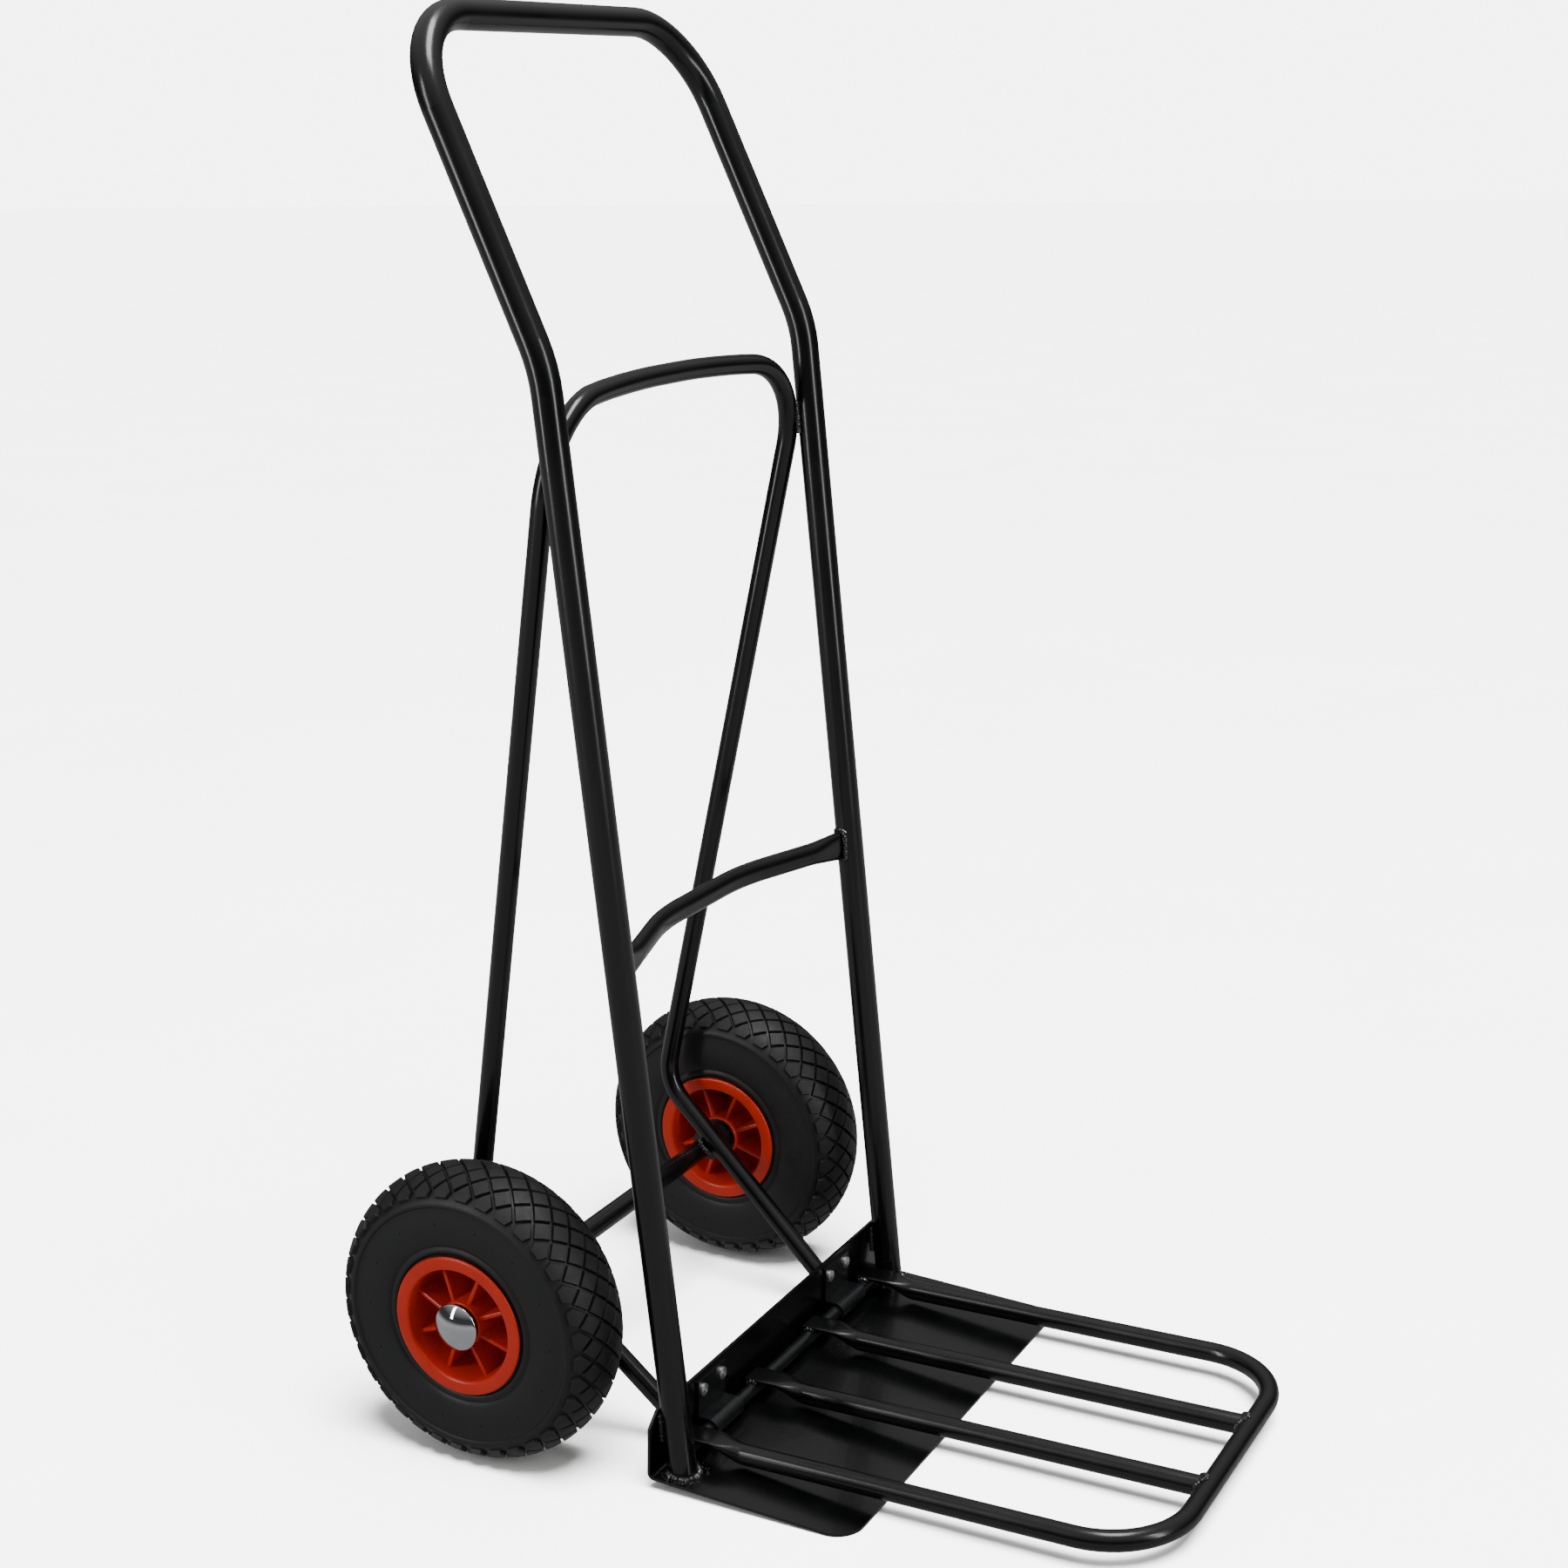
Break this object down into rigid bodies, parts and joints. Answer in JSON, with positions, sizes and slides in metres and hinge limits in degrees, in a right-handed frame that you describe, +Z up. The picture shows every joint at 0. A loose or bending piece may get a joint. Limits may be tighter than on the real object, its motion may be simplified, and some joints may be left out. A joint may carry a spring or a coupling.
{
  "type": "hand truck",
  "caption": "Upright two-wheeled hand truck of bent black tube with a toe plate, a fold-down load grate hinged on it, and pneumatic wheels on moulded red rims.",
  "frame": {"origin": "on the floor, at the middle of the footprint", "axes": "+Z up; +X along the axle, to the left of somebody standing behind the truck; -Y towards the load"},
  "size_m": [0.5292, 0.7218, 1.1867],
  "materials": {
    "black_paint": "glossy black enamel on welded steel tube and sheet",
    "grey_paint": "thin dark grey-black enamel on the clamps and the pivot rod",
    "steel_rod": "plain drawn steel",
    "zinc_screw": "bright zinc plate",
    "chrome_cap": "polished chrome plate",
    "tyre_rubber": "matt charcoal rubber",
    "butyl_rubber": "smooth black rubber, hidden in the tyre",
    "red_plastic": "glossy red-orange moulded plastic",
    "black_plastic": "satin black moulded plastic"
  },
  "bodies": {
    "frame": {"main_frame_tube": "black_paint", "rear_brace_tube": "black_paint", "cross_brace": "black_paint", "axle_tube": "black_paint", "axle_rod": "steel_rod", "toe_plate": "black_paint", "clamp_screws": "zinc_screw", "clamp_nuts": "zinc_screw", "hinge_clamp_left": "grey_paint", "axle_spacer_left": "black_plastic", "outer_washer_left": "black_plastic", "hub_cap_left": "chrome_cap", "hinge_clamp_right": "grey_paint", "axle_spacer_right": "black_plastic", "outer_washer_right": "black_plastic", "hub_cap_right": "chrome_cap"},
    "grate": {"pivot_rod": "grey_paint", "grate_outer_tube": "black_paint", "grate_inner_bar_left": "black_paint", "grate_inner_bar_right": "black_paint"},
    "left_wheel": {"tyre_left": "tyre_rubber", "inner_tube_left": "butyl_rubber", "rim_left": "red_plastic", "hub_bush_inner_left": "black_plastic", "hub_bush_outer_left": "black_plastic"},
    "right_wheel": {"tyre_right": "tyre_rubber", "inner_tube_right": "butyl_rubber", "rim_right": "red_plastic", "hub_bush_inner_right": "black_plastic", "hub_bush_outer_right": "black_plastic"}
  },
  "joints": [
    {"name": "left_wheel_spin", "type": "hinge", "parent": "frame", "child": "left_wheel", "pos_m": [0.2186, 0.2309, 0.13], "axis": [1, 0, 0], "continuous": true},
    {"name": "right_wheel_spin", "type": "hinge", "parent": "frame", "child": "right_wheel", "pos_m": [-0.2186, 0.2309, 0.13], "axis": [1, 0, 0], "continuous": true},
    {"name": "grate_fold", "type": "hinge", "parent": "frame", "child": "grate", "pos_m": [0, 0.05883, 0.02018], "axis": [-1, 0, 0], "range_deg": [0, 91.5]}
  ]
}
